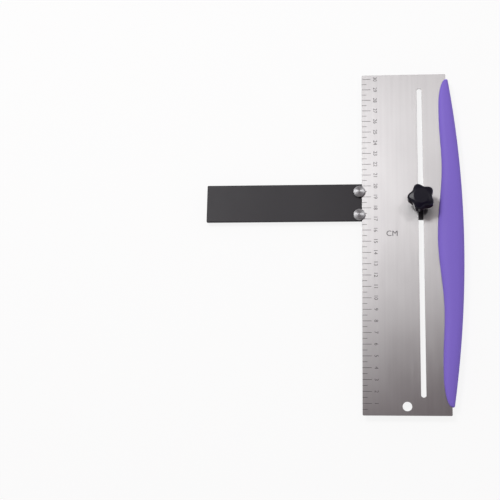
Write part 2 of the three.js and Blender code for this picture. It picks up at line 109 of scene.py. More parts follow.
class Shader:
    """A Principled material's node tree, with short ways to add what the finishes need."""

    def __init__(self, name: str) -> None:
        """Starts a material whose patterns read Object coordinates.

        Args:
            name: The material's name.
        """
        self.material = bpy.data.materials.new(name)
        self.material.use_nodes = True
        self.nodes = self.material.node_tree.nodes
        self.links = self.material.node_tree.links
        self.surface = self.nodes["Principled BSDF"]
        self.place: Socket = self.nodes.new("ShaderNodeTexCoord").outputs["Object"]

    def put(self, **values: float | Sequence[float]) -> None:
        """Sets constant values on the shader's own sockets, named with _ for a space."""
        for name, value in values.items():
            self.surface.inputs[name.replace("_", " ")].default_value = value

    def feed(self, name: str, source: Socket) -> None:
        """Links a source to one of the shader's sockets."""
        self.links.new(source, self.surface.inputs[name])

    def noise(self, per_metre: PerMetre, detail: float = 2.0) -> Socket:
        """Soft noise, stretched along the axes.

        Args:
            per_metre: How many features of the noise there are in a metre along X, Y and Z.
            detail: How many finer layers the noise has.

        Returns:
            The noise's value, mostly between 0.3 and 0.7.
        """
        mapping = self.nodes.new("ShaderNodeMapping")
        mapping.inputs["Scale"].default_value = per_metre
        noise = self.nodes.new("ShaderNodeTexNoise")
        noise.inputs["Scale"].default_value = 1.0
        noise.inputs["Detail"].default_value = detail
        self.links.new(self.place, mapping.inputs["Vector"])
        self.links.new(mapping.outputs["Vector"], noise.inputs["Vector"])
        return noise.outputs["Fac"]

    def spread(self, source: Socket, low: float, high: float) -> Socket:
        """Carries a noise's usual range over to low and high.

        Args:
            source: The noise.
            low: The value where the noise is low.
            high: The value where it is high.

        Returns:
            The value between them.
        """
        ranged = self.nodes.new("ShaderNodeMapRange")
        for name, value in zip(("From Min", "From Max", "To Min", "To Max"), (*NOISE_RANGE, low, high)):
            ranged.inputs[name].default_value = value
        self.links.new(source, ranged.inputs["Value"])
        return ranged.outputs["Result"]

    def add(self, first: Socket, second: Socket) -> Socket:
        """The sum of two values.

        Args:
            first: One value.
            second: The other.

        Returns:
            The sum.
        """
        total = self.nodes.new("ShaderNodeMath")
        total.operation = "ADD"
        self.links.new(first, total.inputs[0])
        self.links.new(second, total.inputs[1])
        return total.outputs["Value"]

    def tint(self, source: Socket, colour: Colour, low: float, high: float) -> None:
        """Makes the base colour stray with a value from 0 to 1.

        Args:
            source: The value.
            colour: The colour.
            low: The colour's share at 0.
            high: Its share at 1.
        """
        mix = self.nodes.new("ShaderNodeMix")
        mix.data_type = "RGBA"
        for socket, share in ((MIX_FIRST, low), (MIX_SECOND, high)):
            mix.inputs[socket].default_value = (*(channel * share for channel in colour), 1.0)
        self.links.new(source, mix.inputs["Factor"])
        self.feed("Base Color", mix.outputs[MIX_RESULT])

    def along(self, way: Sequence[float]) -> None:
        """Makes a fixed direction the one across the finish's grain.

        Args:
            way: The direction.
        """
        across = self.nodes.new("ShaderNodeCombineXYZ")
        for socket, value in zip(across.inputs, way):
            socket.default_value = value
        self.feed("Tangent", across.outputs["Vector"])

    def turned(self) -> None:
        """Makes the finish's grain run in circles about the piece's own Z axis."""
        circles = self.nodes.new("ShaderNodeTangent")
        circles.direction_type = "RADIAL"
        circles.axis = "Z"
        self.feed("Tangent", circles.outputs["Tangent"])
        self.put(Anisotropic_Rotation=QUARTER_TURN)

    def relief(self, height: Socket, depth: float, under: Socket | None = None) -> Socket:
        """A bumped normal.

        Args:
            height: The height pattern, from 0 to 1.
            depth: How deep the pattern is, in metres.
            under: A coarser bumped normal that this one lies on.

        Returns:
            The normal.
        """
        bump = self.nodes.new("ShaderNodeBump")
        bump.inputs["Distance"].default_value = depth
        self.links.new(height, bump.inputs["Height"])
        if under is not None:
            self.links.new(under, bump.inputs["Normal"])
        return bump.outputs["Normal"]


@dataclass(frozen=True)
class Finish:
    """A surface finish.

    Attributes:
        name: The material's name.
        slot: The record's material slot, which nothing in this script reads.
        colour: The linear base colour.
        roughness: The middle of the roughness range.
    """

    name: str
    slot: str
    colour: Colour
    roughness: float

    @cache
    def material(self) -> bpy.types.Material:
        """The finish's material, made the first time that it is asked for."""
        shader = Shader(self.name)
        self.dress(shader)
        return shader.material

    def dress(self, shader: Shader) -> None:
        """Lays the finish on a shader.

        Args:
            shader: The shader.
        """
        raise NotImplementedError

    def roughen(self, shader: Shader, fine: Socket, wear: float, broad: Socket, broad_wear: float) -> None:
        """Lets the roughness stray up and down with two noises.

        Args:
            shader: The shader.
            fine: The first noise.
            wear: How far the roughness strays with it.
            broad: The second noise.
            broad_wear: How far the roughness strays with that.
        """
        near = shader.spread(fine, self.roughness - wear, self.roughness + wear)
        shader.feed("Roughness", shader.add(near, shader.spread(broad, -broad_wear, broad_wear)))


@dataclass(frozen=True)
class BrushedSteel(Finish):
    """Satin sheet, brushed along Y: fine streaks over broad bands and soft clouds.

    Attributes:
        brushing: How much wider its reflections spread across the grain than along it.
        streaks: How many streaks there are in a metre along X, Y and Z.
        bands: How many bands there are.
        clouds: How many clouds there are.
        band_tone: The bands' part in the tone, of which the clouds have the rest.
        tones: The shares of the colour between which the tone strays.
        streak_wear: How far the roughness strays with the streaks.
        cloud_wear: How far it strays with the clouds.
        streak_depth: How deep the streaks are, in metres.
        band_depth: How deep the bands are.
    """

    brushing: float = 0.625
    streaks: PerMetre = (2600.0, 40.0, 300.0)
    bands: PerMetre = (380.0, 5.0, 60.0)
    clouds: PerMetre = (16.0, 9.0, 16.0)
    band_tone: float = 0.4
    tones: tuple[float, float] = (0.93, 1.07)
    streak_wear: float = 0.02
    cloud_wear: float = 0.015
    streak_depth: float = 0.004 * MM
    band_depth: float = 0.006 * MM

    def dress(self, shader: Shader) -> None:
        """Bands and clouds set the tone, streaks and clouds the roughness, and streaks and bands the relief.

        Args:
            shader: The shader.
        """
        streaks = shader.noise(self.streaks, detail=3.0)
        bands = shader.noise(self.bands, detail=3.0)
        clouds = shader.noise(self.clouds, detail=4.0)
        band_tone = shader.spread(bands, 0.0, self.band_tone)
        cloud_tone = shader.spread(clouds, 0.0, 1.0 - self.band_tone)
        shader.put(Metallic=1.0, Anisotropic=self.brushing)
        shader.along((1.0, 0.0, 0.0))
        shader.tint(shader.add(band_tone, cloud_tone), self.colour, *self.tones)
        self.roughen(shader, streaks, self.streak_wear, clouds, self.cloud_wear)
        normal = shader.relief(bands, self.band_depth)
        shader.feed("Normal", shader.relief(streaks, self.streak_depth, normal))


@dataclass(frozen=True)
class WornMetal(Finish):
    """A metal whose tone and roughness stray together, over a relief of its own.

    Attributes:
        stain_per_metre: How many stains there are in a metre.
        stain_detail: How many finer layers the stains have.
        tones: The shares of the colour between which the tone strays.
        wear: How far the roughness strays down and up.
        grain_per_metre: How many grains of the relief there are in a metre along X, Y and Z.
        grain_detail: How many finer layers the grain has.
        grain_depth: How deep the relief is, in metres.
        metallic: How far it reflects as a metal.
        turning: How much wider its reflections spread across its turning marks than along them.
    """

    stain_per_metre: float
    stain_detail: float
    tones: tuple[float, float]
    wear: tuple[float, float]
    grain_per_metre: PerMetre
    grain_depth: float
    grain_detail: float = 2.0
    metallic: float = 1.0
    turning: float = 0.0

    def dress(self, shader: Shader) -> None:
        """Stains set the tone and the roughness, and grain the relief.

        Args:
            shader: The shader.
        """
        stain = shader.noise((self.stain_per_metre,) * 3, self.stain_detail)
        grain = shader.noise(self.grain_per_metre, self.grain_detail)
        down, up = self.wear
        shader.put(Metallic=self.metallic, Anisotropic=self.turning)
        if self.turning:
            shader.turned()
        shader.tint(stain, self.colour, *self.tones)
        shader.feed("Roughness", shader.spread(stain, self.roughness - down, self.roughness + up))
        shader.feed("Normal", shader.relief(grain, self.grain_depth))


@dataclass(frozen=True)
class MouldedPlastic(Finish):
    """Coloured moulding with a soft sheen: fine mould texture and slight flow clouds.

    Attributes:
        grain_per_metre: How many grains of the mould texture there are in a metre.
        grain_depth: How deep the texture is, in metres.
        peel_size: How many times coarser the orange peel is than the texture.
        peel_share: How many times deeper.
        clouds: How many flow clouds there are in a metre along X, Y and Z.
        variation: How far the tone strays, as a share.
        wear: How far the roughness strays with the texture, and as far again with the clouds.
        gloss: How strongly it reflects, where 0.5 is usual for a plastic.
    """

    grain_per_metre: float = 1800.0
    grain_depth: float = 0.006 * MM
    peel_size: float = 6.0
    peel_share: float = 1.5
    clouds: PerMetre = (22.0, 12.0, 22.0)
    variation: float = 0.03
    wear: float = 0.03
    gloss: float = 0.5

    def dress(self, shader: Shader) -> None:
        """Grain sets the relief, clouds the tone, and both the roughness.

        Args:
            shader: The shader.
        """
        grain = shader.noise((self.grain_per_metre,) * 3, detail=3.0)
        peel = shader.noise((self.grain_per_metre / self.peel_size,) * 3)
        clouds = shader.noise(self.clouds, detail=4.0)
        shader.put(Metallic=0.0, IOR=1.47, Specular_IOR_Level=self.gloss)
        shader.tint(clouds, self.colour, 1.0 - self.variation, 1.0 + self.variation)
        self.roughen(shader, grain, self.wear, clouds, self.wear)
        normal = shader.relief(peel, self.grain_depth * self.peel_share)
        shader.feed("Normal", shader.relief(grain, self.grain_depth, normal))


BLADE_STEEL = BrushedSteel("blade_brushed_steel", "blade_steel", (0.383, 0.377, 0.379), 0.313)
RIVET_STEEL = WornMetal(
    "rivet_turned_steel", "rivet_steel", (0.38, 0.38, 0.39), 0.5,
    stain_per_metre=420.0, stain_detail=4.0, tones=(0.93, 1.07), wear=(0.04, 0.06),
    grain_per_metre=(900.0, 900.0, 900.0), grain_depth=0.003 * MM, turning=0.95,
)
FASTENER_ZINC = WornMetal(
    "fastener_zinc_plate", "fastener_steel", (0.34, 0.345, 0.36), 0.4,
    stain_per_metre=650.0, stain_detail=5.0, tones=(0.85, 1.12), wear=(0.06, 0.08),
    grain_per_metre=(5200.0, 5200.0, 5200.0), grain_depth=0.004 * MM,
)
INSERT_BRASS = WornMetal(
    "insert_turned_brass", "insert_brass", (0.48, 0.31, 0.05), 0.35,
    stain_per_metre=300.0, stain_detail=4.0, tones=(0.8, 1.1), wear=(0.05, 0.1),
    grain_per_metre=(60.0, 60.0, 6000.0), grain_depth=0.008 * MM,
)
HANDLE_VIOLET = MouldedPlastic(
    "handle_violet_moulding", "handle_violet", (0.222, 0.150, 0.622), 0.55, gloss=0.2
)
ARM_BLACK = MouldedPlastic(
    "arm_black_moulding", "arm_black", (0.0235, 0.0218, 0.0258), 0.5,
    grain_per_metre=3200.0, grain_depth=0.008 * MM, variation=0.06, gloss=0.3,
)
KNOB_BLACK = MouldedPlastic(
    "knob_black_moulding", "knob_black", (0.0045, 0.0038, 0.011), 0.32,
    grain_depth=0.002 * MM, variation=0.1, gloss=0.22,
)
SCALE_BLACK = WornMetal(
    "scale_etched_black", "scale_black", (0.085, 0.080, 0.084), 0.55,
    stain_per_metre=900.0, stain_detail=5.0, tones=(0.6, 1.6), wear=(0.1, 0.1),
    grain_per_metre=(900.0, 900.0, 900.0), grain_detail=5.0, grain_depth=0.006 * MM, metallic=0.6,
)


def grid_faces(rows: int, columns: int) -> npt.NDArray[np.int64]:
    """The quads of a grid of points, numbered row by row, whose last column joins the first.

    Args:
        rows: How many rows of points there are.
        columns: How many points there are in a row.

    Returns:
        One row of four point numbers for each quad.
    """
    here, beside = np.meshgrid(np.arange(rows - 1), np.arange(columns), indexing="ij")
    next_to = (beside + 1) % columns
    around = ((here, beside), (here, next_to), (here + 1, next_to), (here + 1, beside))
    return np.stack([line * columns + place for line, place in around], axis=-1).reshape(-1, 4)


def finish_mesh(mesh: bpy.types.Mesh, sharp_degrees: float = 40.0) -> bpy.types.Mesh:
    """Welds a mesh's seams and poles, turns its faces outwards and smooths all but its sharp edges.

    Args:
        mesh: The mesh, changed in place.
        sharp_degrees: The angle between faces from which an edge stays sharp.

    Returns:
        The same mesh.
    """
    work = bmesh.new()
    work.from_mesh(mesh)
    bmesh.ops.remove_doubles(work, verts=work.verts, dist=WELD)
    bmesh.ops.dissolve_degenerate(work, edges=work.edges, dist=WELD)
    bmesh.ops.recalc_face_normals(work, faces=work.faces)
    work.to_mesh(mesh)
    work.free()
    mesh.shade_smooth()
    mesh.set_sharp_from_angle(angle=math.radians(sharp_degrees))
    return mesh


def surface_mesh(name: str, grid: Array, shift: Sequence[float] = (0.0, 0.0, 0.0)) -> bpy.types.Mesh:
    """A mesh over a grid of points whose columns close on themselves.

    Args:
        name: The mesh's name.
        grid: The points, as rows by columns by three.
        shift: Where the grid's own origin lies.

    Returns:
        The finished mesh.
    """
    rows, columns, _ = grid.shape
    mesh = bpy.data.meshes.new(name)
    points = (grid + np.asarray(shift)).reshape(-1, 3)
    mesh.from_pydata(points.tolist(), [], grid_faces(rows, columns).tolist())
    return finish_mesh(mesh)


def linked(name: str, data: bpy.types.ID) -> bpy.types.Object:
    """A new object, linked into the scene.

    Args:
        name: The object's name.
        data: Its mesh, curve, lamp or camera.

    Returns:
        The object.
    """
    made = bpy.data.objects.new(name, data)
    bpy.context.scene.collection.objects.link(made)
    return made


def evaluated_mesh(made: bpy.types.Object) -> bpy.types.Mesh:
    """A new mesh of an object's final shape, after which the object is removed.

    Args:
        made: A curve, a text or a mesh with modifiers.

    Returns:
        The mesh.
    """
    depsgraph = bpy.context.evaluated_depsgraph_get()
    mesh = bpy.data.meshes.new_from_object(made.evaluated_get(depsgraph))
    bpy.data.objects.remove(made)
    return mesh


def eased(profile: Sequence[Sequence[float]], radius: float, steps: int = 5) -> Array:
    """A profile whose inner corners are rounded: each is replaced by the parabola that leaves one side and
    joins the next within the radius, or within half the side where that is shorter.

    Args:
        profile: The corner points.
        radius: How far from a corner the rounding starts.
        steps: How many steps a rounding has.

    Returns:
        The points of the rounded profile.
    """
    points = np.asarray(profile, dtype=float)
    corner = points[1:-1]
    back = points[:-2] - corner
    ahead = points[2:] - corner
    back_length = np.linalg.norm(back, axis=1, keepdims=True)
    ahead_length = np.linalg.norm(ahead, axis=1, keepdims=True)
    start = corner + back / back_length * np.minimum(radius, back_length / 2)
    end = corner + ahead / ahead_length * np.minimum(radius, ahead_length / 2)
    share = np.linspace(0.0, 1.0, steps + 1)[None, :, None]
    leaving = (1 - share) ** 2 * start[:, None]
    turning = 2 * share * (1 - share) * corner[:, None]
    curves = leaving + turning + share**2 * end[:, None]
    return np.vstack([points[:1], curves.reshape(-1, points.shape[1]), points[-1:]])


def dome(radius: float, base: float, height: float, fullness: float = 2.0, steps: int = 28) -> Array:
    """A quarter superellipse from its rim to its crown on the axis.

    Args:
        radius: The rim's radius.
        base: The rim's height.
        height: The crown's height above the rim, negative for a dome that hangs down.
        fullness: The superellipse's exponent, where 2 is an ellipse and more is a flatter crown.
        steps: How many steps it has.

    Returns:
        Rows of radius and height.
    """
    angle = np.linspace(0.0, math.pi / 2, steps + 1)
    across = np.cos(angle[:-1]) ** (2 / fullness)
    up = np.sin(angle) ** (2 / fullness)
    return np.column_stack([radius * np.append(across, 0.0), base + height * up])


def circle(sides: int) -> Array:
    """Angles round a circle, as one row."""
    return np.linspace(0.0, 2 * math.pi, sides, endpoint=False)[None, :]


def rings(radius: Array, height: Array | float, angle: Array) -> Array:
    """Points about Z, a row for each ring: each radius is carried round to its angle, at its height."""
    radius, height, angle = np.broadcast_arrays(radius, height, angle)
    return np.stack([radius * np.cos(angle), radius * np.sin(angle), height], axis=-1)


def revolved(profile: Array, sides: int = 96) -> Array:
    """A profile of radii and heights turned about Z, with one ring for each of its points."""
    return rings(profile[:, :1], profile[:, 1:], circle(sides))


def ring_mesh(name: str, node: str, bore: float, ease: float) -> bpy.types.Mesh:
    """A flat washer in a CAD node's box: a rounded rectangle turned about its axis.

    Args:
        name: The mesh's name.
        node: The CAD node.
        bore: The hole's radius.
        ease: How far its edges are rounded.

    Returns:
        The finished mesh.
    """
    low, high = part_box(node)
    outer = (high.x - low.x) / 2
    middle = (low.z + high.z) / 2
    face = [(bore, low.z), (outer, low.z), (outer, high.z), (bore, high.z)]
    corners = [(bore, middle), *face, (bore, middle)]
    return surface_mesh(name, revolved(eased(corners, ease)), axis_of(node))


def rounded_rectangle(low: Sequence[float], high: Sequence[float], radius: float, steps: int = 8) -> Array:
    """A rectangle whose corners are quarter circles, anticlockwise.

    Args:
        low: Its lowest X and Y.
        high: Its highest X and Y.
        radius: The corners' radius.
        steps: How many steps a corner has.

    Returns:
        The outline's points.
    """
    right, left = high[0] - radius, low[0] + radius
    bottom, top = low[1] + radius, high[1] - radius
    centres = np.array([(right, bottom), (right, top), (left, top), (left, bottom)])
    turn = np.radians(np.array([-90.0, 0.0, 90.0, 180.0])[:, None] + np.linspace(0.0, 90.0, steps + 1))
    return (centres[:, None] + radius * np.stack([np.cos(turn), np.sin(turn)], axis=-1)).reshape(-1, 2)


def slot_outline(x: float, low: float, high: float, radius: float, steps: int = 32) -> Array:
    """A slot along Y: a half circle at each end. A slot of no length is a circle.

    Args:
        x: Its middle line.
        low: The lower end's centre.
        high: The upper end's centre.
        radius: Half its width.
        steps: How many steps an end has.

    Returns:
        The outline's points.
    """
    turn = np.linspace(0.0, math.pi, steps + 1)
    upper = np.column_stack([x + radius * np.cos(turn), high + radius * np.sin(turn)])
    lower = np.column_stack([x - radius * np.cos(turn), low - radius * np.sin(turn)])
    return np.vstack([upper, lower]) if high > low else np.vstack([upper[:-1], lower[:-1]])


def crease_flats(mesh: bpy.types.Mesh) -> bpy.types.Mesh:
    """Makes sharp every edge between a level face and another, so that level faces shade flat.

    Args:
        mesh: The mesh, changed in place.

    Returns:
        The same mesh.
    """
    normal = np.empty(len(mesh.polygons) * 3)
    corners = np.empty(len(mesh.polygons), dtype=np.int32)
    edge = np.empty(len(mesh.loops), dtype=np.int32)
    mesh.polygons.foreach_get("normal", normal)
    mesh.polygons.foreach_get("loop_total", corners)
    mesh.loops.foreach_get("edge_index", edge)
    level = np.repeat(np.abs(normal[2::3]) > LEVEL_NORMAL, corners)
    beside = np.zeros((2, len(mesh.edges)), dtype=bool)
    beside[0, edge[level]] = True
    beside[1, edge[~level]] = True
    sharp = np.empty(len(mesh.edges), dtype=bool)
    mesh.edges.foreach_get("use_edge_sharp", sharp)
    mesh.edges.foreach_set("use_edge_sharp", sharp | beside.all(axis=0))
    return mesh


def plate_mesh(name: str, loops: Sequence[Array], low: float, high: float, ease: float) -> bpy.types.Mesh:
    """A flat plate with holes and rounded edges: a filled flat curve, thickened.

    Args:
        name: The mesh's name.
        loops: The outline, then each hole's.
        low: The lower face's height.
        high: The upper face's height.
        ease: The radius of its edges.

    Returns:
        The finished mesh.
    """
    curve = bpy.data.curves.new(name, "CURVE")
    curve.dimensions = "2D"
    curve.fill_mode = "BOTH"
    curve.extrude = (high - low) / 2 - ease
    curve.bevel_depth = ease
    curve.bevel_resolution = 2
    curve.offset = -ease
    for loop in loops:
        spline = curve.splines.new("POLY")
        spline.points.add(len(loop) - 1)
        points = np.column_stack([loop, np.zeros(len(loop)), np.ones(len(loop))])
        spline.points.foreach_set("co", points.ravel())
        spline.use_cyclic_u = True
    mesh = evaluated_mesh(linked(name, curve))
    mesh.transform(Matrix.Translation((0.0, 0.0, (low + high) / 2)))
    return crease_flats(finish_mesh(mesh, sharp_degrees=50.0))


@dataclass
class Piece:
    """A finished mesh on its way into the scene.

    Attributes:
        name: The piece's name.
        mesh: Its mesh, in the CAD frame.
        finish: Its surface.
        body: The body that it rides on.
        nodes: The CAD nodes that it stands for.
    """

    name: str
    mesh: bpy.types.Mesh
    finish: Finish
    body: Body
    nodes: tuple[str, ...] = ()

    def place(self) -> None:
        """Puts the piece in the scene, dressed and riding on its body."""
        made = linked(self.name, self.mesh)
        self.mesh.materials.clear()
        self.mesh.materials.append(self.finish.material())
        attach(made, self.body.value)
        if self.nodes:
            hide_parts(*self.nodes)
        LOG.info("%s: %d faces in %s", self.name, len(self.mesh.polygons), self.finish.name)


def middle_of(node: str) -> Vector:
    """The middle of a CAD node's box."""
    low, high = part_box(node)
    return (low + high) / 2


def axis_of(node: str) -> tuple[float, float, float]:
    """Where the axis of a CAD node's box crosses the blade's middle plane."""
    middle = middle_of(node)
    return (middle.x, middle.y, 0.0)


def hole_outline(node: str, radius: float) -> Array:
    """The outline of a round hole about a CAD node's axis."""
    x, y, _ = axis_of(node)
    return slot_outline(x, y, y, radius)


@dataclass
class Scale:
    """The ruler on the blade's front, counted in centimetres from the foot edge.

    Attributes:
        last: The last centimetre that is marked.
        long_mark: The length of a centimetre's mark.
        short_mark: The length of a half centimetre's mark.
        line: The width of a mark.
        lift: How far the marks stand on the steel.
        numeral_base: From the scraping edge to the numerals' feet.
        numeral_height: The height of the numerals, which read down the blade.
        unit_base: Where the unit's lower left corner is, from the blade's lower left corner.
        unit_height: The height of the unit's letters.
    """

    last: int = 30
    long_mark: float = 7.8 * MM
    short_mark: float = 4.2 * MM
    line: float = 0.42 * MM
    lift: float = 0.02 * MM
    numeral_base: float = 10.1 * MM
    numeral_height: float = 3.2 * MM
    unit_base: tuple[float, float] = (20.9 * MM, 154.5 * MM)
    unit_height: float = 4.8 * MM

    def marks(self, corner: Vector) -> bpy.types.Mesh:
        """The marks: one box at each half centimetre, long at the whole ones.

        Args:
            corner: The lower left corner of the blade's front face.

        Returns:
            The finished mesh.
        """
        step = np.arange(1, 2 * self.last + 1)
        length = np.where(step % 2 == 0, self.long_mark, self.short_mark)
        height = step * CENTIMETRE / 2
        base = ((0, -0.5), (1, -0.5), (1, 0.5), (0, 0.5))
        unit = np.array([(x, y, z) for z in (0.0, 1.0) for x, y in base])
        size = np.column_stack([length, np.full_like(length, self.line), np.full_like(length, self.lift)])
        start = np.column_stack([np.zeros_like(height), height, np.zeros_like(height)]) + np.asarray(corner)
        points = start[:, None] + unit[None] * size[:, None]
        box = np.array([(3, 2, 1, 0), (4, 5, 6, 7), (0, 1, 5, 4), (1, 2, 6, 5), (2, 3, 7, 6), (3, 0, 4, 7)])
        faces = (box[None] + 8 * np.arange(len(step))[:, None, None]).reshape(-1, 4)
        mesh = bpy.data.meshes.new("scale_marks")
        mesh.from_pydata(points.reshape(-1, 3).tolist(), [], faces.tolist())
        return finish_mesh(mesh)

    def lettering(self, words: str, height: float) -> tuple[bpy.types.Mesh, float]:
        """Letters as a thin solid, with the middle of their feet at the origin.

        Args:
            words: What is written.
            height: The height of its capitals and figures.

        Returns:
            The mesh and its width.
        """
        curve = bpy.data.curves.new("lettering", "FONT")
        curve.body = words
        curve.extrude = self.lift / 2
        mesh = evaluated_mesh(linked("lettering", curve))
        points = np.empty(len(mesh.vertices) * 3)
        mesh.vertices.foreach_get("co", points)
        points = points.reshape(-1, 3)
        low, high = points.min(axis=0), points.max(axis=0)
        size = height / (high[1] - low[1])
        points[:, :2] = (points[:, :2] - ((low[0] + high[0]) / 2, low[1])) * size
        points[:, 2] += self.lift / 2
        mesh.vertices.foreach_set("co", points.ravel())
        return mesh, (high[0] - low[0]) * size

    def figures(self, corner: Vector) -> bpy.types.Mesh:
        """The numerals, turned a quarter clockwise, and the upright unit.

        Args:
            corner: The lower left corner of the blade's front face.

        Returns:
            The finished mesh.
        """
        work = bmesh.new()
        turned = Matrix.Rotation(-math.pi / 2, 4, "Z")
        for centimetre in range(1, self.last + 1):
            mesh, _ = self.lettering(str(centimetre), self.numeral_height)
            foot = corner + Vector((self.numeral_base, centimetre * CENTIMETRE, 0.0))
            mesh.transform(Matrix.Translation(foot) @ turned)
            work.from_mesh(mesh)
        unit, width = self.lettering("CM", self.unit_height)
        unit_x, unit_y = self.unit_base
        unit.transform(Matrix.Translation(corner + Vector((unit_x + width / 2, unit_y, 0.0))))
        work.from_mesh(unit)
        joined = bpy.data.meshes.new("scale_figures")
        work.to_mesh(joined)
        work.free()
        return finish_mesh(joined)


@dataclass
class Blade:
    """The steel plate, with its slot and holes, and the ruler on it.

    Attributes:
        corner: The radius of the plate's corners.
        ease: The radius of its edges.
        hang_hole: The hang hole's radius.
        hang_margin: From the foot edge to the hang hole.
        slot_clearance: Between the clamp bolt and the slot's sides.
        bolt: The clamp bolt's radius.
        slot_foot: From the foot edge to the slot.
        slot_top: From the top edge to the slot.
        screw_hole: The radius of the handle screws' holes.
        scale: The ruler.
    """

    corner: float = 1.0 * MM
    ease: float = 0.12 * MM
    hang_hole: float = 3.9 * MM
    hang_margin: float = 3.75 * MM
    slot_clearance: float = 0.2 * MM
    bolt: float = 1.95 * MM
    slot_foot: float = 15.1 * MM
    slot_top: float = 13.5 * MM
    screw_hole: float = 1.6 * MM
    scale: Scale = field(default_factory=Scale)

    def plate(self) -> bpy.types.Mesh:
        """The plate: a rounded rectangle with its slot, hang hole and screw holes.

        Returns:
            The finished mesh.
        """
        low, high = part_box("blade")
        half_slot = self.bolt + self.slot_clearance
        slot_x = middle_of("clamp_washer").x
        slot_low = low.y + self.slot_foot + half_slot
        slot_high = high.y - self.slot_top - half_slot
        hang_y = low.y + self.hang_margin + self.hang_hole
        loops = [
            rounded_rectangle(low, high, self.corner),
            slot_outline(slot_x, slot_low, slot_high, half_slot),
            slot_outline((low.x + high.x) / 2, hang_y, hang_y, self.hang_hole),
        ]
        loops += [hole_outline(screw, self.screw_hole) for screw in SCREW_NODES]
        return plate_mesh("blade_plate", loops, low.z, high.z, self.ease)

    def build(self) -> None:
        """Builds and dresses the plate and its ruler."""
        low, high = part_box("blade")
        corner = Vector((low.x, low.y, high.z))
        Piece("blade_plate", self.plate(), BLADE_STEEL, Body.BLADE, ("blade",)).place()
        Piece("scale_marks", self.scale.marks(corner), SCALE_BLACK, Body.BLADE).place()
        Piece("scale_figures", self.scale.figures(corner), SCALE_BLACK, Body.BLADE).place()


